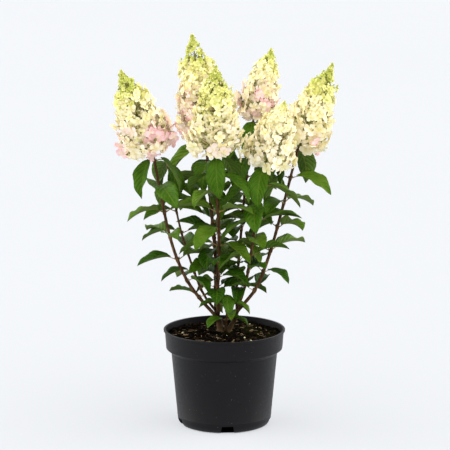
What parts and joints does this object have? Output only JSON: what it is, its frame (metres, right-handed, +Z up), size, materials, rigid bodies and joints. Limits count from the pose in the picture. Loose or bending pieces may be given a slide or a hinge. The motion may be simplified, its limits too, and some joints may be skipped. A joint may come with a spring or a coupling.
{
  "type": "potted hydrangea shrub",
  "caption": "Young panicle hydrangea shrub with brown canes, opposite pointed leaves and upright cone-shaped cream flower heads, in a round black nursery pot.",
  "frame": {"origin": "centre of the pot's flat underside, on the surface it stands on", "axes": "+Z up along the pot's axis, +Y towards the back of the plant, +X towards its right side as seen from the front"},
  "size_m": [0.4265, 0.2978, 0.7377],
  "materials": {
    "pot": "satin moulded black polypropylene",
    "compost": "rough moist potting compost with bark chips",
    "bark": "matt reddish brown young bark",
    "leaves": "dull green leaf with a faint sheen",
    "florets": "matt cream petal"
  },
  "bodies": {
    "root": {"pot": "pot", "soil": "compost", "woody_crown": "bark", "left_stem": "bark", "left_lower_leaves": "leaves", "left_upper_leaves": "leaves", "left_flower_head": "florets", "right_stem": "bark", "right_lower_leaves": "leaves", "right_upper_leaves": "leaves", "right_flower_head": "florets", "front_middle_stem": "bark", "front_middle_lower_leaves": "leaves", "front_middle_upper_leaves": "leaves", "front_middle_flower_head": "florets", "front_right_stem": "bark", "front_right_lower_leaves": "leaves", "front_right_upper_leaves": "leaves", "front_right_flower_head": "florets", "rear_left_stem": "bark", "rear_left_lower_leaves": "leaves", "rear_left_upper_leaves": "leaves", "rear_middle_stem": "bark", "rear_middle_lower_leaves": "leaves", "rear_middle_upper_leaves": "leaves", "rear_middle_flower_head": "florets", "rear_right_stem": "bark", "rear_right_lower_leaves": "leaves", "rear_right_upper_leaves": "leaves", "rear_right_flower_head": "florets", "basal_leaves": "leaves"}
  },
  "joints": []
}
